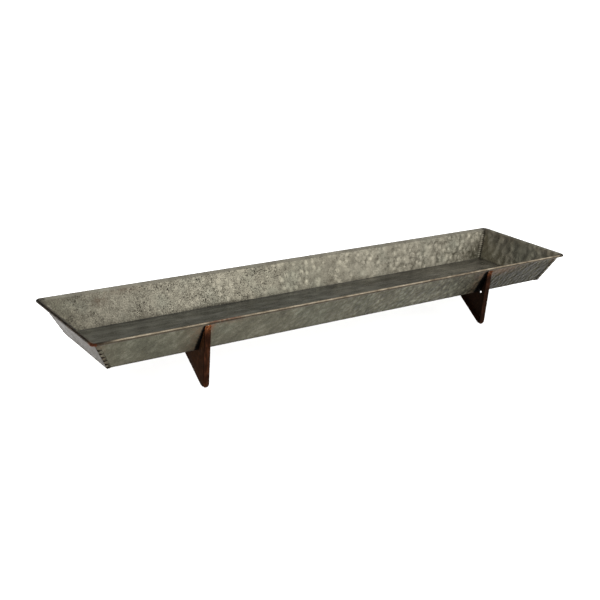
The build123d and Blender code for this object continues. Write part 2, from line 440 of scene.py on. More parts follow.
# the outer skin is far darker than the inside: partly aged zinc, partly painted shade standing in for the
# floor's shadow under the tray
wall_outside = zinc(
    "aged_and_shaded_zinc_outside", (0.034, 0.031, 0.020), (0.081, 0.076, 0.053), (0.180, 0.174, 0.132),
    metal=0.95, marks=1.7, mark_size=0.0095, clouds=0.6, streaks=True,
)
end_inside = zinc(
    "aged_zinc_end_inside", (0.185, 0.168, 0.122), (0.255, 0.236, 0.178), (0.370, 0.340, 0.262),
    rough=0.30, marks=1.8, mark_size=0.0165, clouds=0.5, metal=0.92,
)
end_outside = zinc(
    "aged_zinc_end_outside", (0.049, 0.041, 0.033), (0.064, 0.054, 0.044), (0.082, 0.070, 0.057),
    marks=0.3, rough=0.5, metal=0.9,
)
bed = tray_bed("aged_zinc_floor")
bead_front = bead("rubbed_bead", (0.060, 0.040, 0.024), (0.33, 0.27, 0.190), (0.62, 0.54, 0.41), 0.02)
bead_rear = bead("dark_bead", (0.008, 0.006, 0.004), (0.026, 0.018, 0.011), (0.085, 0.062, 0.040), 0.0)
wire_skin = bead("dark_wire_skin", (0.018, 0.012, 0.009), (0.050, 0.030, 0.020), (0.16, 0.09, 0.055), -0.02)
iron_face = iron(
    "rusty_iron_bar", (0.006, 0.0022, 0.0011), (0.021, 0.0074, 0.0032), (0.074, 0.026, 0.012),
    (0.24, 0.080, 0.028),
)
iron_web = iron(
    "rusty_iron_plate", (0.007, 0.0026, 0.0012), (0.021, 0.0085, 0.0034), (0.052, 0.021, 0.0090),
    (0.09, 0.033, 0.013),
)
weld_metal = iron(
    "weld_metal", (0.10, 0.035, 0.018), (0.34, 0.16, 0.075), (0.68, 0.52, 0.36), (0.50, 0.20, 0.07), 0.03
)
# near-black, laid over the crimp notches
crimp_notch_black = iron(
    "crimp_notch_black", (0.003, 0.0022, 0.0016), (0.007, 0.005, 0.003), (0.020, 0.012, 0.008), (0.06, 0.03, 0.015)
)
corner_skin = iron(
    "dark_corner", (0.004, 0.003, 0.002), (0.012, 0.008, 0.006), (0.050, 0.034, 0.024), (0.10, 0.04, 0.02)
)
rusty_skin = iron(
    "rusty_corner", (0.016, 0.006, 0.004), (0.060, 0.020, 0.010), (0.200, 0.085, 0.045), (0.24, 0.08, 0.03)
)


# ---------------------------------------------------------------- meshes
def show(name, data):
    """A new object in the scene."""
    made = bpy.data.objects.new(name, data)
    bpy.context.scene.collection.objects.link(made)
    return made


def piece(name, verts, faces, mats, face_mats, nodes, masks, sharp=40):
    """One mesh piece that stands for CAD nodes and rides on the part."""
    mesh = bpy.data.meshes.new(name)
    mesh.from_pydata(np.asarray(verts).tolist(), [], [list(f) for f in faces])
    for mat in mats:
        mesh.materials.append(mat)
    mesh.polygons.foreach_set("material_index", np.asarray(face_mats, dtype=np.int32))
    solid = bmesh.new()
    solid.from_mesh(mesh)
    bmesh.ops.recalc_face_normals(solid, faces=solid.faces)
    solid.to_mesh(mesh)
    solid.free()
    for key, values in masks.items():
        mask = mesh.attributes.new(key, "FLOAT", "POINT")
        mask.data.foreach_set("value", np.asarray(values, dtype=np.float32).ravel())
    mesh.polygons.foreach_set("use_smooth", np.ones(len(mesh.polygons), dtype=bool))
    mesh.set_sharp_from_angle(angle=radians(sharp))
    made = show(name, mesh)
    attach(made, "root")
    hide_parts(*nodes)


def shell(inner_rows, outer_rows, edge, columns):
    """Faces of a closed sheet and their materials: inner skin, outer skin, then the four edges."""
    rows = len(inner_rows) + 1
    count = rows * columns
    at = np.arange(count).reshape(rows, columns)
    inner = np.stack([at[:-1, :-1], at[:-1, 1:], at[1:, 1:], at[1:, :-1]], -1).reshape(-1, 4)
    outer = inner[:, ::-1] + count
    ring = np.concatenate([at[0, :-1], at[:-1, -1], at[-1, :0:-1], at[:0:-1, 0]])
    after = np.roll(ring, -1)
    edges = np.stack([after, ring, ring + count, after + count], -1)
    skins = [np.repeat(inner_rows, columns - 1), np.repeat(outer_rows, columns - 1)]
    return np.concatenate([inner, outer, edges]), np.concatenate([*skins, np.full(len(edges), edge)])


def sheet_skins(place, away, drift, depth_in, depth_out):
    """Points of both skins of a sheet whose middle drifts and whose skins have dents."""
    middle = place + away * drift[..., None]
    inner = middle + away * (SHEET / 2 + depth_in)[..., None]
    outer = middle - away * (SHEET / 2 + depth_out)[..., None]
    return np.concatenate([inner.reshape(-1, 3), outer.reshape(-1, 3)])


def spread(values, columns):
    """A grid in which each row repeats its own value."""
    return np.repeat(values[:, None], columns, axis=1)


def tube_sides(rings, count, offset=0):
    """Quads between rings of points that are stored one ring after another."""
    sides = []
    for low in range(offset, offset + (rings - 1) * count, count):
        for n in range(count):
            m = (n + 1) % count
            sides.append((low + n, low + m, low + count + m, low + count + n))
    return sides


def tube(rings, count, offset=0):
    """Faces of a tube that is closed at both ends."""
    first = tuple(range(offset, offset + count))
    last = tuple(n + (rings - 1) * count for n in first)
    return [first, *tube_sides(rings, count, offset), last[::-1]]


def line(start, end, step):
    """Points one step apart from the start on, without the end."""
    count = max(1, round(hypot(end[0] - start[0], end[1] - start[1]) / step))
    return [tuple(np.array(start) + (np.array(end) - start) * n / count) for n in range(count)]


def rounded(before, corner, after, radius, count):
    """Points of the arc that rounds a corner."""
    a = np.array(before) - corner
    b = np.array(after) - corner
    a, b = a / np.linalg.norm(a), b / np.linalg.norm(b)
    half = np.arccos(np.clip(a @ b, -1, 1)) / 2
    reach = radius / np.tan(half)
    middle = corner + (a + b) / np.linalg.norm(a + b) * radius / np.sin(half)
    first, last = (atan2(*(corner + arm * reach - middle)[::-1]) for arm in (a, b))
    turn = (last - first + pi) % (2 * pi) - pi
    angles = [first + turn * n / count for n in range(count + 1)]
    return [(middle[0] + radius * cos(t), middle[1] + radius * sin(t)) for t in angles]


BED, WALL, LIP, ROLLED = range(4)


def half_profile(half_base, lean, bead_at, bed_from, step):
    """Mid-sheet points from the tray's middle or foot, up the wall and round the roll, and their zones."""
    slope = tan(lean)
    mid_base = half_base - SHEET / 2 / cos(lean)
    foot = np.array((mid_base + slope * SHEET / 2, UNDERSIDE + SHEET / 2))
    turn = pi / 2 + FLARE
    flare_end = np.array((bead_at + ROLL * cos(turn), BEAD_Z + ROLL * sin(turn)))
    rise = flare_end[1] - UNDERSIDE + tan(FLARE) * (mid_base - flare_end[0])
    climb = rise / (1 - tan(FLARE) * slope)
    top = np.array((mid_base + slope * climb, UNDERSIDE + climb))
    points, zones = [], []

    def extend(new, zone):
        points.extend(new)
        zones.extend([zone] * len(new))

    lip_bend = rounded(foot, top, flare_end, BEND, 3)
    if bed_from is None:
        extend(line(foot, lip_bend[0], step), WALL)
    else:
        foot_bend = rounded((bed_from, foot[1]), foot, top, BEND, 4)
        extend(line((bed_from, foot[1]), foot_bend[0], step * 1.4), BED)
        extend(foot_bend[:2], BED)
        extend(foot_bend[2:-1], WALL)
        extend(line(foot_bend[-1], lip_bend[0], step), WALL)
    extend(lip_bend[:-1], WALL)
    extend(line(lip_bend[-1], flare_end, step * 0.7), LIP)
    angles = turn - ROLL_TURN * np.linspace(0, 1, 14)
    extend([(bead_at + ROLL * cos(t), BEAD_Z + ROLL * sin(t)) for t in angles], ROLLED)
    return np.array(points), np.array(zones)


def with_normals(points):
    """Arc length along a path, and the unit normals on its left, which is a profile's inside."""
    tangent = np.gradient(points, axis=0)
    tangent /= np.linalg.norm(tangent, axis=1)[:, None]
    run = np.concatenate([[0], np.cumsum(np.linalg.norm(np.diff(points, axis=0), axis=1))])
    return run, np.stack([-tangent[:, 1], tangent[:, 0]], -1)


def rim_reach(across, own, other, rolled):
    """How far a roll runs before the rim's round corner, and how far its lip runs to the mitre."""
    inward = BEAD - CORNER
    beyond = np.maximum(across - own - inward, 0)
    curve = other + inward + np.sqrt(np.maximum((CORNER - BEAD) ** 2 - beyond**2, 0))
    return np.where(rolled, other + inward + 0.3 * MM, np.minimum(other + across - own, curve))


# ---------------------------------------------------------------- tray sheet: its grid
COLUMNS = 365
half, half_zones = half_profile(HALF_WIDTH, LONG_LEAN, BEAD_Y, 0.0, 2.4 * MM)
profile = np.concatenate([half[:0:-1] * (-1, 1), half])
zones = np.concatenate([half_zones[:0:-1], half_zones])
run, normal = with_normals(profile)
run -= run[len(run) // 2]
foot_run = run[(zones == BED) & (run > 0)].max()
top_run = run[(zones == WALL) & (run > 0)].max()
wall_end = HALF_LENGTH - SHEET / cos(END_LEAN) + 0.4 * MM + END_SLOPE * (profile[:, 1] - UNDERSIDE)
rim_end = rim_reach(np.abs(profile[:, 0]), BEAD_Y, BEAD_X, zones == ROLLED)
extent = np.where(zones >= LIP, rim_end, wall_end)

# X runs along the tray, S across the sheet from its middle
X = extent[:, None] * np.linspace(-1, 1, COLUMNS)
S, Y, Z = (spread(values, COLUMNS) for values in (run, profile[:, 0], profile[:, 1]))
zone = spread(zones, COLUMNS)
is_bed, is_wall, on_rim = zone == BED, zone == WALL, zone >= LIP
rear_wall, front_wall = is_wall & (S > 0), is_wall & (S < 0)
up_wall = np.abs(S) - foot_run
to_end = extent[:, None] - np.abs(X)

# ---------------------------------------------------------------- tray sheet: its dents
wall_plate = ease(up_wall, 0.0015, 0.006) * ease(top_run - np.abs(S), 0.001, 0.005) * is_wall
bed_plate = ease(foot_run - np.abs(S), 0.002, 0.012) * is_bed
rightward = ease(X, -0.15, 0.38)
small_dents = hammered(X, S, 0.0100, 3) - MEAN_DENT
wide_dents = hammered(X + 0.4, S, 0.0135, 9) - MEAN_DENT
inner_depth = wall_plate * (0.03 + 0.30 * rightward) * MM * (small_dents + 0.9 * wide_dents)
inner_depth += bed_plate * 0.10 * MM * (hammered(X * 0.6, S, 0.015, 21) - MEAN_DENT)
slant = radians(42)
with_stroke = X * cos(slant) + np.abs(S) * sin(slant)
across_stroke = np.abs(S) * cos(slant) - X * sin(slant)
strokes = hammered(with_stroke * 0.85, across_stroke, 0.0080, 31) - MEAN_DENT
outer_depth = wall_plate * (0.08 + 0.34 * rightward) * MM * (strokes + 0.5 * wide_dents)
sag = 0.22 * MM * (wander(X, S, 0.085, 41) + 0.5 * wander(X, S, 0.036, 42)) * wall_plate
wear = 0.05 * MM * (wander(X, S, 0.011, 51) - 1) * on_rim
away_y, away_z = (spread(values, COLUMNS) for values in normal.T)
away = np.stack([np.zeros_like(X), away_y, away_z], -1)
verts = sheet_skins(np.stack([X, Y, Z], -1), away, sag + wear, inner_depth, outer_depth)

# ---------------------------------------------------------------- tray sheet: its wear, dirt and painted shade
grit = rear_wall * (near(X, -0.18, 0.11) + 0.25 + 0.25 * ease(-X, 0.24, 0.36))
foot_crust = rear_wall * near(up_wall, 0, 0.0045) * (0.35 + 0.65 * near(X, -0.19, 0.05))
foot_blot = rear_wall * near(np.hypot(X + 0.301, up_wall - 0.0025), 0, 0.0016)
seam_width = np.where((X > 0) & (S > 0), 0.0065, 0.0022)
front_rim = on_rim & (S < 0)
grime = most(
    foot_crust,
    0.90 * foot_blot,
    0.75 * (is_bed & (S > 0)) * near(foot_run - S, 0, 0.0022),
    0.85 * (is_wall | is_bed) * near(to_end, 0, seam_width),
    0.95 * on_rim * ease(np.abs(X), 0.489, 0.495) + 0.7 * front_rim * ease(-X, 0.462, 0.478),
    # painted shade: the underside of the front roll goes dark
    0.90 * front_rim * ease(np.abs(S), top_run + 0.0084, top_run + 0.0102),
)
stain = most(
    0.55 * rear_wall * near(X, -0.400, 0.011) * near(up_wall, 0.044, 0.008),
    0.35 * rear_wall * near(X, -0.36, 0.05) * ease(up_wall, 0.044, 0.056),
    0.80 * front_wall * near(X, 0.335, 0.055) * ease(up_wall, 0.030, 0.052),
    0.55 * front_wall * near(X, -0.27, 0.03) * ease(up_wall, 0.040, 0.055),
    front_wall * near(to_end, 0, 0.010) * ease(up_wall, 0.030, 0.055),
    0.90 * front_rim * ease(X, -0.325, -0.300) * ease(-X, 0.235, 0.262),
    front_rim * ease(-X, 0.478, 0.500),
)
# beside each arm a dark wedge of painted shadow widens downwards; brown fades from the arm's left edge, and
# rust has run on its other side
arm_shadow_wedge = np.zeros_like(X)
for arm, reach in ((-STAND_X, 0.0065), (STAND_X, 0.0088)):
    beside = arm - BAR_WIDE / 2 - X
    fan = 0.001 + reach * np.clip((0.056 - up_wall) / 0.05, 0, 1)
    arm_shadow_wedge = most(arm_shadow_wedge, ease(-beside, -fan - 0.002, -fan) * (beside > -0.011))
    beyond = ease(X, arm + 0.004, arm + 0.006) * ease(-X, -arm - 0.017, -arm - 0.007)
    run_rust = 1.5 * front_wall * beyond * ease(up_wall, 0.026, 0.050)
    # brown that fades away from the arm's left edge across the wall
    brown_beside_arm = 0.6 * front_wall * near(beside, 0, 0.022) * (beside > -0.02)
    stain = most(stain, run_rust, brown_beside_arm)
outer_grime = most(
    grime * (~is_bed | (to_end < 0.003)),
    # painted shade: a dark line along the outer skin's bottom bend
    1.20 * (zone <= WALL) * near(up_wall, -0.0002, 0.0026),
    # painted shadow beside each arm
    1.60 * front_wall * arm_shadow_wedge * ease(0.056 - up_wall, 0.0, 0.012),
    # painted shadow: a dark line on the outer wall just under the rolled rim
    0.85 * (is_wall | (zone == LIP)) * near(np.abs(S), top_run + 0.002, 0.0040),
)
shade = rear_wall * most(0.40 * ease(-X, 0.400, 0.490), 0.22 * near(X, 0.0, 0.13))
outer_shade = front_wall * most(0.97 * ease(X, 0.17, 0.34), 2.0 * arm_shadow_wedge)
dimple = np.where(S > 0, 0.12 + 0.88 * ease(X, -0.22, 0.33), 0.6)
dots = rear_wall * (near(X, 0.02, 0.20) + 0.45 * near(X, -0.22, 0.12))
none = np.zeros_like(X)
# each mask has its values on the inner skin, then on the outer one
masks = {
    "grit": (grit, none),
    "grime": (grime, outer_grime),
    "stain": (stain, stain),
    "along": (X, X),
    "dimple": (dimple, 0.20 + 0.80 * ease(X, -0.30, 0.30)),
    "shade": (shade, outer_shade),
    "dots": (dots, none),
}

INSIDE, OUTSIDE, FLOOR, FRONT_ROLL, REAR_ROLL, REAR_LIP = range(6)
row_zone, row_run = zones[:-1], run[:-1]
roll_mat = np.where(row_run >= 0, REAR_ROLL, FRONT_ROLL)
wall_rows = np.where(row_run > top_run - 1.6 * MM, REAR_LIP, INSIDE)
upper = np.where(row_zone == ROLLED, roll_mat, np.where(row_zone == BED, FLOOR, wall_rows))
lower = np.where(row_zone == ROLLED, roll_mat, OUTSIDE)
faces, face_mats = shell(upper, lower, OUTSIDE, COLUMNS)
mats = [wall_inside, wall_outside, bed, bead_front, bead_rear, rear_lip]
piece("tray_sheet", verts, faces, mats, face_mats, ["tray_body"], masks)

# ---------------------------------------------------------------- end panels
END_COLUMNS = 92
CORNER_CLIMB = hypot(1, hypot(LONG_SLOPE, END_SLOPE))
LAP_LOW = UNDERSIDE + 1.5 * MM
LAP_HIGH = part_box("tray_body")[1].z - 5 * MM
END_MATS = [end_inside, end_outside, bead_rear, wall_outside, crimp_notch_black, corner_skin, rusty_skin, crimp_tips]
END_INSIDE, END_OUTSIDE, END_ROLL, FOLDED_LAP, GAP, DARK_CORNER, RUSTY_CORNER, TIP = range(len(END_MATS))


def crimp_height(n):
    """Crimps are one pitch apart, measured along the sloping corner."""
    return UNDERSIDE + (CRIMP_START + n * CRIMP_PITCH) / CORNER_CLIMB


def lap_outline():
    """Height and distance inboard: crimps bite in from the corner, the far edge wanders a little."""
    points = [(LAP_LOW, 0.0)]
    for n in range(CRIMPS):
        z = crimp_height(n)
        half_bite = CRIMP_WIDE / 2 / CORNER_CLIMB * (1 + 0.12 * wander(n * 1.7, 0.3, 1, 61))
        points += [(z - half_bite, 0.0), (z, CRIMP_LONG), (z + half_bite, 0.0)]
    points = [p for p in points if LAP_LOW <= p[0] <= LAP_HIGH]
    points += [(LAP_HIGH, 0.0), (LAP_HIGH, LAP)]
    for n in range(1, 12):
        z = LAP_HIGH + (LAP_LOW - LAP_HIGH) * n / 12
        points.append((z, LAP + 0.25 * MM * wander(n * 0.9, 1.1, 1, 62)))
    return [*points, (LAP_LOW, LAP)]


def on_side(side, front, z, inboard, lift):
    """A point on a long wall's outer face, inboard of the end, lifted off the face."""
    x = HALF_LENGTH + END_SLOPE * (z - UNDERSIDE) - inboard / cos(END_LEAN)
    y = HALF_WIDTH + LONG_SLOPE * (z - UNDERSIDE) + lift * cos(LONG_LEAN)
    return (side * x, front * y, z - lift * sin(LONG_LEAN))


def side_plate(side, front, ring, thick):
    """A flat shape that lies on a long wall's outer face."""
    return [on_side(side, front, *p, lift) for lift in (0.0, thick) for p in ring], tube(2, len(ring))


def dome(side, front, z, inboard, tall, wide, deep):
    """A small bump on a long wall's inside face, where a crimp pushes through."""
    rings, count = 4, 10
    skin = -SHEET - 0.1 * MM
    points = []
    for ring in range(rings):
        out, rise = cos(pi / 2 * ring / rings), deep * sin(pi / 2 * ring / rings)
        for n in range(count):
            up, along = tall / 2 * out * sin(2 * pi * n / count), wide * out * cos(2 * pi * n / count)
            points.append(on_side(side, front, z + up, inboard + along, skin - rise))
    points.append(on_side(side, front, z, inboard, skin - deep))
    tip = rings * count
    last = tip - count
    faces = [tuple(range(count)), *tube_sides(rings, count)]
    faces += [(last + n, last + (n + 1) % count, tip) for n in range(count)]
    return points, faces


def rim_corner(side, front, seed):
    """The rolled edge gathered round a rim corner, slightly lumpy."""
    stations, count = 11, 12
    points = []
    for s in range(stations):
        turn = pi / 2 * s / (stations - 1)
        for n in range(count):
            round_angle = 2 * pi * n / count
            fat = BEAD * (0.945 - 0.025 * wander(s * 0.8, n * 0.9, 1, seed + 11))
            reach = CORNER - BEAD + fat * cos(round_angle)
            x = BEAD_X + BEAD - CORNER + reach * cos(turn)
            y = BEAD_Y + BEAD - CORNER + reach * sin(turn)
            points.append((side * x, front * y, BEAD_Z + fat * sin(round_angle)))
    return points, tube(stations, count)


def under_lap(side):
    """The lap under the tray's floor, whose inboard edge wanders a little."""
    ring = []
    for front in (-1, 1):
        for n in range(13):
            y = front * (HALF_WIDTH - 1.5 * MM) * (2 * n / 12 - 1)
            inboard = LAP + 0.25 * MM * wander(y / 0.02, 0.4, 1, 63) if front > 0 else 0.0
            ring.append((side * (HALF_LENGTH - inboard / cos(END_LEAN) - 0.2 * MM), y))
    return [(x, y, z) for z in (UNDERSIDE, UNDERSIDE - SHEET) for x, y in ring], tube(2, len(ring))


def corner_parts(side, front, seed):
    """All that is folded round one upright corner: points, faces, material, dirt and stain."""
    parts = [(*side_plate(side, front, lap_outline(), SHEET), FOLDED_LAP, 0.12, 0.25)]
    bite = 1.1 * CRIMP_WIDE / 2 / CORNER_CLIMB
    for z in map(crimp_height, range(CRIMPS)):
        if LAP_LOW <= z <= LAP_HIGH:
            # a near-black plate over each crimp notch
            gap = [(z - bite, -0.1 * MM), (z, 1.1 * CRIMP_LONG), (z + bite, -0.1 * MM)]
            parts.append((*side_plate(side, front, gap, SHEET + 0.05 * MM), GAP, 0.0, 0.0))
    for n in range(2 * CRIMPS):
        z = UNDERSIDE + 3.5 * MM + n * CRIMP_PITCH / 2 / CORNER_CLIMB
        size = (1 + 0.25 * wander(n * 1.3, front * 0.7, 1, seed + 9)) * MM
        bump = dome(side, front, z, SHEET + 3.6 * MM, 3.4 * size, 3.0 * size, 1.2 * MM)
        parts.append((*bump, TIP, 0.0, 0.0))
    skin = RUSTY_CORNER if side < 0 and front < 0 else DARK_CORNER
    return [*parts, (*rim_corner(side, front, seed), skin, 0.0, 0.0)]


def end_panel(name, side, node, seed, inside_dents, outside_dents):
    """An end sheet with its rolled top edge, its laps and its crimped corners."""
    points, kinds = half_profile(HALF_LENGTH, END_LEAN, BEAD_X, None, 2.2 * MM)
    length, normal = with_normals(points)
    x, z = points.T
    wall_reach = HALF_WIDTH - SHEET / cos(LONG_LEAN) + LONG_SLOPE * (z - UNDERSIDE)
    reach = np.where(kinds >= LIP, rim_reach(x, BEAD_X, BEAD_Y, kinds == ROLLED), wall_reach)
    Y = reach[:, None] * np.linspace(-1, 1, END_COLUMNS)
    X, S, Z = (spread(values, END_COLUMNS) for values in (x, length, z))
    kind = spread(kinds, END_COLUMNS)
    is_wall, on_rim = kind == WALL, kind >= LIP
    to_side = reach[:, None] - np.abs(Y)
    top = length[kinds == WALL].max()
    plate = ease(S, 0.001, 0.006) * ease(top - S, 0.001, 0.005) * ease(to_side, 0.001, 0.006) * is_wall
    marks = plate * (hammered(Y, S, 0.0175, seed) + 0.4 * hammered(Y, S, 0.010, seed + 1) - 0.65)
    sag = 0.3 * MM * wander(Y, S, 0.07, seed + 2) * plate
    wear = 0.05 * MM * (wander(Y, S, 0.012, seed + 3) - 1) * on_rim
    away_x, away_z = (spread(values, END_COLUMNS) for values in normal.T)
    away = np.stack([away_x, np.zeros_like(Y), away_z], -1)
    place = np.stack([X, Y, Z], -1)
    skins = sheet_skins(place, away, sag + wear, inside_dents * marks, outside_dents * marks)
    rolled = kinds[:-1] == ROLLED
    inner_rows, outer_rows = (np.where(rolled, END_ROLL, plain) for plain in (END_INSIDE, END_OUTSIDE))
    sheet_faces, sheet_mats = shell(inner_rows, outer_rows, END_OUTSIDE, END_COLUMNS)
    grime = most(
        0.90 * is_wall * near(to_side, 0, 0.0022),
        0.90 * is_wall * near(S, 0, 0.0020),
        0.95 * on_rim * ease(np.abs(Y), BEAD_Y - 0.006, BEAD_Y - 0.002),
    )
    rusty = on_rim * ease(-Y, BEAD_Y - 0.016, BEAD_Y - 0.004) * (side < 0)
    stain = most(0.35 * is_wall * near(S, top, 0.010), rusty)

    verts, faces, face_mats = list(skins * (side, 1, 1)), sheet_faces.tolist(), list(sheet_mats)
    all_grime, all_stain = [*grime.ravel(), *grime.ravel()], [*stain.ravel(), *stain.ravel()]
    parts = corner_parts(side, -1, seed) + corner_parts(side, 1, seed)
    for new, sides, mat, dirt, rust in [*parts, (*under_lap(side), FOLDED_LAP, 0.12, 0.25)]:
        faces += [[n + len(verts) for n in face] for face in sides]
        verts += new
        face_mats += [mat] * len(sides)
        all_grime += [dirt] * len(new)
        all_stain += [rust] * len(new)
    masks = {key: np.zeros(len(verts)) for key in ("grit", "shade", "dots")}
    masks["dimple"] = np.where(np.arange(len(verts)) < Y.size, 1.0, 0.5)
    masks.update(grime=all_grime, stain=all_stain)
    piece(name, verts, faces, END_MATS, face_mats, [node], masks)


end_panel("left_end_sheet", -1, "left_end_panel", 101, 0.14 * MM, 0.02 * MM)
end_panel("right_end_sheet", 1, "right_end_panel", 202, 0.58 * MM, 0.16 * MM)


# ---------------------------------------------------------------- rim wire
def rim_rod():
    """The wire inside the rolls, bent round each rim corner, with its two ends apart."""
    radius, gap, start, count = 1.4 * MM, 1.2 * MM, -BEAD_X + 8 * MM, 12
    corners = [(BEAD_X, -BEAD_Y), (BEAD_X, BEAD_Y), (-BEAD_X, BEAD_Y), (-BEAD_X, -BEAD_Y)]
    stops = [(start, -BEAD_Y), *corners, (start - gap, -BEAD_Y)]
    path = stops[:1]
    for before, corner, after in zip(stops, stops[1:], stops[2:]):
        arc = rounded(before, np.array(corner), after, CORNER - BEAD, 8)
        path += line(path[-1], arc[0], 30 * MM)[1:] + arc
    path = np.array([*path, stops[-1]])
    _, aside = with_normals(path)
    around = np.linspace(0, 2 * pi, count, endpoint=False)
    fat = radius * (1 + 0.05 * wander(np.arange(len(path))[:, None] * 0.7, around, 1, 71))
    wide, tall = fat * np.cos(around), fat * np.sin(around)
    x, y = path[:, :1] + aside[:, :1] * wide, path[:, 1:] + aside[:, 1:] * wide
    verts = np.stack([x, y, BEAD_Z + tall], -1).reshape(-1, 3)
    faces = tube(len(path), count)
    stain = near(verts[:, 0], -BEAD_X, 0.02) * near(verts[:, 1], -BEAD_Y, 0.02)
    masks = {"stain": stain, "grime": np.zeros(len(verts))}
    piece("rim_rod", verts, faces, [wire_skin], [0] * len(faces), ["rim_wire"], masks, 50)


rim_rod()


# ---------------------------------------------------------------- stands
def wall_face(z):
    """How far out the long wall's outer face is at height z."""
    return HALF_WIDTH + LONG_SLOPE * (z - UNDERSIDE)


ARM_OFFSET = BAR / 2 / cos(LONG_LEAN)
BAR_POINTS = [
    np.array((wall_face(ARM_TOP) + ARM_OFFSET, ARM_TOP)),
    np.array((wall_face(KNEE) + ARM_OFFSET, KNEE)),
    np.array((97.7 * MM, -0.6 * MM)),
    np.array((10 * MM, UNDERSIDE - BAR / 2)),
    np.array((0.0, UNDERSIDE - BAR / 2)),
]


def toe_share(z):
    """How much of the bar's width is left at height z, as the toe's corners are rounded."""
    below = np.clip(TOE - z, 0, TOE)
    return 1 - 2 * (TOE - np.sqrt(TOE**2 - below**2)) / BAR_WIDE * 0.85


def bar_path():
    """The bar's middle line from one arm's top, under the tray, to the other arm's top."""
    top, knee, toe, seat, centre = BAR_POINTS
    knee_arc = rounded(top, knee, toe, 3 * MM, 3)
    toe_arc = rounded(knee, toe, seat, 1.5 * MM, 6)
    seat_arc = rounded(toe, seat, centre, 3 * MM, 3)
    path = line(top, knee_arc[0], 2 * MM)
    for arc, end in ((knee_arc, toe_arc[0]), (toe_arc, seat_arc[0]), (seat_arc, centre)):
        path += arc[:-1] + line(arc[-1], end, 2.4 * MM)
    path = np.array(path)
    return np.concatenate([path * (-1, 1), [centre], path[::-1]])


def bar_section():
    """The bar's cross-section, with rounded edges and three points along each flat face."""
    soft = 0.45 * MM
    ring = []
    for quarter, (cx, cz) in enumerate(((1, 1), (-1, 1), (-1, -1), (1, -1))):
        for turn in (radians(90 * quarter + 45 * n) for n in range(3)):
            x = cx * (BAR_WIDE / 2 - soft) + soft * cos(turn)
            ring.append((x, cz * (BAR / 2 - soft) + soft * sin(turn)))
        if cx == cz:
            ring += [(cx * t * BAR_WIDE, cz * BAR / 2) for t in (0.33, 0, -0.33)]
    return np.array(ring)


def strap(name, side, node, seed):
    """The bent flat bar. The right one leans outboard towards the top, as in the photo."""
    path, ring = bar_path(), bar_section()
    length, away = with_normals(path)
    along = length[:, None]
    across, through = ring[:, 0], ring[:, 1]
    uneven = 0.096 * MM * (wander(along, np.sign(across) * 3.0, 0.012, seed) - 1)
    lean = STAND_LEAN * (side > 0) * path[:, 1:] / ARM_TOP
    x = across * toe_share(path[:, 1:] - 1.3 * MM) + np.sign(across) * uneven + lean
    skin = 0.08 * MM * np.abs(wander(along, across, 0.006, seed + 1))
    thick = through - np.sign(through) * skin
    y = path[:, :1] - away[:, :1] * thick
    z = np.maximum(path[:, 1:] - away[:, 1:] * thick, 0.0)
    verts = np.stack([side * STAND_X + x, y, z], -1).reshape(-1, 3)
    faces = tube(len(path), len(ring))
    on_edge = np.abs(across) > BAR_WIDE / 2 - 0.35 * MM
    # painted shade: the bar's rounded edges, and all of the right stand's bar, go dark
    masks = {
        "edge": np.maximum(on_edge * np.ones_like(along), 0.62 * (side > 0)),
        "bloom": most(ease(z, KNEE - 10 * MM, KNEE + 4 * MM), 0.15 * near(z, 0, 0.006)),
    }
    piece(name, verts, faces, [iron_face], [0] * len(faces), [node], masks, 50)


def web_outline(notch):
    """The plate between the bar, the tray wall and the tray floor, with its notch."""
    _, knee, toe, seat, _ = BAR_POINTS
    gap, top_z = 0.3 * MM, 98.6 * MM
    up = (knee - toe) / np.linalg.norm(knee - toe)
    back = (seat - toe) / np.linalg.norm(seat - toe)
    a = toe + np.array((-up[1], up[0])) * BAR / 2
    b = toe + np.array((back[1], -back[0])) * BAR / 2
    inner_toe = a + up * np.linalg.solve(np.stack([up, -back], -1), b - a)[0]
    leg_top = a + up * ((top_z - a[1]) / up[1])
    run_end = b + back * ((UNDERSIDE - gap - b[1]) / back[1])
    toe_arc = rounded(leg_top, inner_toe, run_end, 0.8 * MM, 3)
    ring = [(wall_face(top_z) + gap, top_z), *line(leg_top, inner_toe, 6 * MM), *toe_arc]
    ring += [*line(toe_arc[-1], run_end, 6 * MM)[1:], tuple(run_end)]
    for turn in np.radians(np.linspace(180 + 17 / (notch / MM), 424, 15)):
        ring.append((HALF_WIDTH + notch * cos(turn), UNDERSIDE + notch * sin(turn)))
    return ring


def web(name, side, front, node, notch):
    """A web plate with bevelled borders, drawn in at the toe like the bar."""
    ring = web_outline(notch)
    outside, inside = side * (STAND_X + BAR_WIDE / 2), side * (STAND_X + BAR_WIDE / 2 - WEB)
    solid = bmesh.new()
    corners = [solid.verts.new((x, front * y, z)) for x in (outside, inside) for y, z in ring]
    for face in tube(2, len(ring)):
        solid.faces.new([corners[n] for n in face])
    bmesh.ops.recalc_face_normals(solid, faces=solid.faces)
    borders = [e for e in solid.edges if len({round(v.co.x, 6) for v in e.verts}) == 1]
    bmesh.ops.bevel(solid, geom=borders, offset=0.3 * MM, segments=2, affect="EDGES", profile=0.6)
    bmesh.ops.triangulate(solid, faces=[f for f in solid.faces if len(f.verts) > 4])
    verts = np.array([v.co for v in solid.verts])
    faces = [[v.index for v in f.verts] for f in solid.faces]
    solid.free()
    beyond = np.abs(verts[:, 0]) - STAND_X
    verts[:, 0] = side * (STAND_X + beyond * toe_share(verts[:, 2] - 1.6 * MM))
    # painted shade: the right stand's plates go near-black
    masks = {"edge": np.full(len(verts), 1.1 * (side > 0)), "bloom": 0.5 * ease(verts[:, 2], 0.080, 0.098)}
    piece(name, verts, faces, [iron_web], [0] * len(faces), [node], masks, 50)


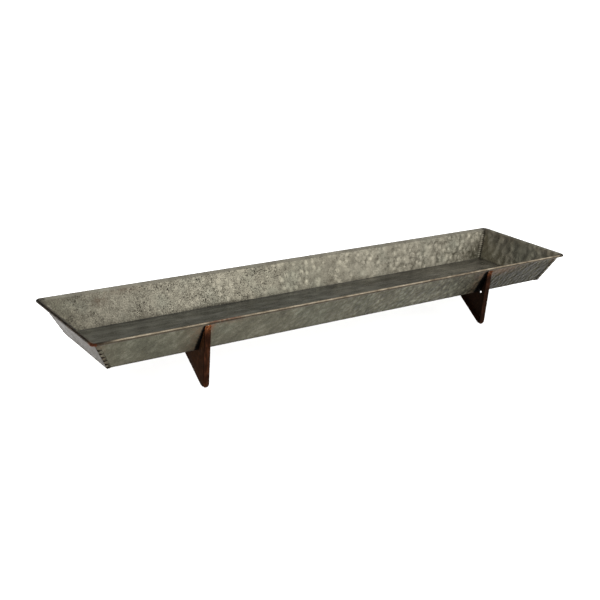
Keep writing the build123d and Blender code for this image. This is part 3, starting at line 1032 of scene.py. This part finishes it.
def tacks(name, side, node, seed):
    """Two lumpy weld beads, one at the top of each arm, against the tray wall."""
    long, tall, deep = 7.9 * MM, 3.3 * MM, 0.98 * BAR
    along = np.array((sin(LONG_LEAN), cos(LONG_LEAN)))
    out = np.array((cos(LONG_LEAN), -sin(LONG_LEAN)))
    corner = BAR_POINTS[0] - out * BAR / 2
    stations, around = 15, 9
    verts, faces = [], []
    for front in (-1, 1):
        faces += tube(stations, around, len(verts))
        for s in range(stations):
            t = s / (stations - 1) * 2 - 1
            x = side * STAND_X + t * long / 2 + STAND_LEAN * (side > 0)
            fat = max(0.0, 1 - abs(t) ** 3) ** 0.5 * (0.86 + 0.14 * wander(s * 0.55, front * 1.0, 1, seed))
            for a in range(around - 1):
                turn = pi / 2 * a / (around - 2)
                lump = fat * (0.92 + 0.08 * wander(s * 0.9, a * 0.8, 1, seed + 1))
                y, z = corner + out * lump * cos(turn) * deep + along * lump * sin(turn) * tall
                verts.append((x, front * y, z))
            verts.append((x, front * corner[0], corner[1]))
    masks = {"edge": np.zeros(len(verts)), "bloom": np.full(len(verts), 0.6)}
    piece(name, verts, faces, [weld_metal], [0] * len(faces), [node], masks, 60)


for word, side, seed, notch in (("left", -1, 301, 1.5 * MM), ("right", 1, 401, 3.2 * MM)):
    strap(f"{word}_stand_bar", side, f"{word}_stand_strap", seed)
    web(f"{word}_stand_front_plate", side, -1, f"{word}_stand_front_web", notch)
    web(f"{word}_stand_rear_plate", side, 1, f"{word}_stand_rear_web", notch)
    tacks(f"{word}_stand_welds", side, f"{word}_stand_tacks", seed + 30)

# ---------------------------------------------------------------- floor
FAR = 30.0
DROP = -0.4 * MM
floor_mesh = bpy.data.meshes.new("studio_floor")
floor_corners = [(x * FAR, y * FAR, DROP) for x, y in ((-1, -1), (1, -1), (1, 1), (-1, 1))]
floor_mesh.from_pydata(floor_corners, [], [(0, 1, 2, 3)])
floor_object = show("studio_floor", floor_mesh)
paper = Graph("studio_paper")
paper_tone = paper.ramp(paper.noise(0.4, 2, 0.5), (0.0, (0.86, 0.86, 0.86)), (1.0, (0.90, 0.90, 0.90)))
floor_mesh.materials.append(paper.surface(paper_tone, 0.9, 0.0, paper.bump(paper.noise(0.002), 0.0001, 0.1)))

# ---------------------------------------------------------------- light
BACK_AND_UP = (0, 0.74, -0.67)
PALE_FRONT = (0.36, (0.86, 0.85, 0.83, 1))
DARK_REAR = (0.62, (0.10, 0.10, 0.105, 1))
world = bpy.data.worlds.new("studio")
bpy.context.scene.world = world
world.use_nodes = True
tree = world.node_tree
tree.nodes.clear()
node_kinds = ("TexCoord", "VectorMath", "MapRange", "ValToRGB", "Background", "OutputWorld")
world_nodes = [tree.nodes.new(f"ShaderNode{kind}") for kind in node_kinds]
direction, lean_back, shift, sky, backdrop, world_out = world_nodes
lean_back.operation = "DOT_PRODUCT"
lean_back.inputs[1].default_value = BACK_AND_UP
shift.inputs["From Min"].default_value = -1
for stop, (position, colour) in zip(sky.color_ramp.elements, (PALE_FRONT, DARK_REAR)):
    stop.position = position
    stop.color = colour
tree.links.new(direction.outputs["Generated"], lean_back.inputs[0])
tree.links.new(lean_back.outputs["Value"], shift.inputs["Value"])
tree.links.new(shift.outputs[0], sky.inputs[0])
tree.links.new(sky.outputs[0], backdrop.inputs["Color"])
tree.links.new(backdrop.outputs[0], world_out.inputs[0])


def softbox(name, place, size, power):
    """A rectangular lamp that is turned towards the tray."""
    data = bpy.data.lights.new(name, "AREA")
    data.shape = "RECTANGLE"
    data.size, data.size_y = size
    data.energy = power
    lamp = show(name, data)
    lamp.location = place
    lamp.rotation_mode = "QUATERNION"
    lamp.rotation_quaternion = (Vector((0, 0, 0.08)) - lamp.location).to_track_quat("-Z", "Y")


softbox("key_softbox", (1.5, -1.9, 1.15), (1.4, 0.5), 10)
softbox("left_softbox", (-2.0, -0.9, 1.6), (0.9, 0.9), 5)
# the floor has its own even wash, so it stays pale right up to the feet
floor_group = bpy.data.collections.new("floor_wash_group")
floor_group.objects.link(floor_object)
wash_data = bpy.data.lights.new("floor_wash", "SUN")
wash_data.energy = 3.7
wash_data.angle = radians(60)
wash = show("floor_wash", wash_data)
wash.location = (0, 0, 3)
wash.light_linking.receiver_collection = floor_group
wash.light_linking.blocker_collection = floor_group

# ---------------------------------------------------------------- camera
# the camera was fitted to the photo
CAMERA_AT = (-1.0443, -1.3771, 0.6717)
yaw, pitch, roll = radians(35.58), radians(19.31), radians(2.68)
forward = Vector((sin(yaw) * cos(pitch), cos(yaw) * cos(pitch), -sin(pitch)))
level = Vector((cos(yaw), -sin(yaw), 0))
upward = level.cross(forward)
right = cos(roll) * level + sin(roll) * upward
above = -sin(roll) * level + cos(roll) * upward
camera_data = bpy.data.cameras.new("camera")
camera_data.lens = 59.98
camera_data.sensor_width = 36
camera = show("camera", camera_data)
camera.matrix_world = Matrix.Translation(CAMERA_AT) @ Matrix((right, above, -forward)).transposed().to_4x4()
bpy.context.scene.camera = camera
bpy.context.scene.view_settings.view_transform = "Standard"
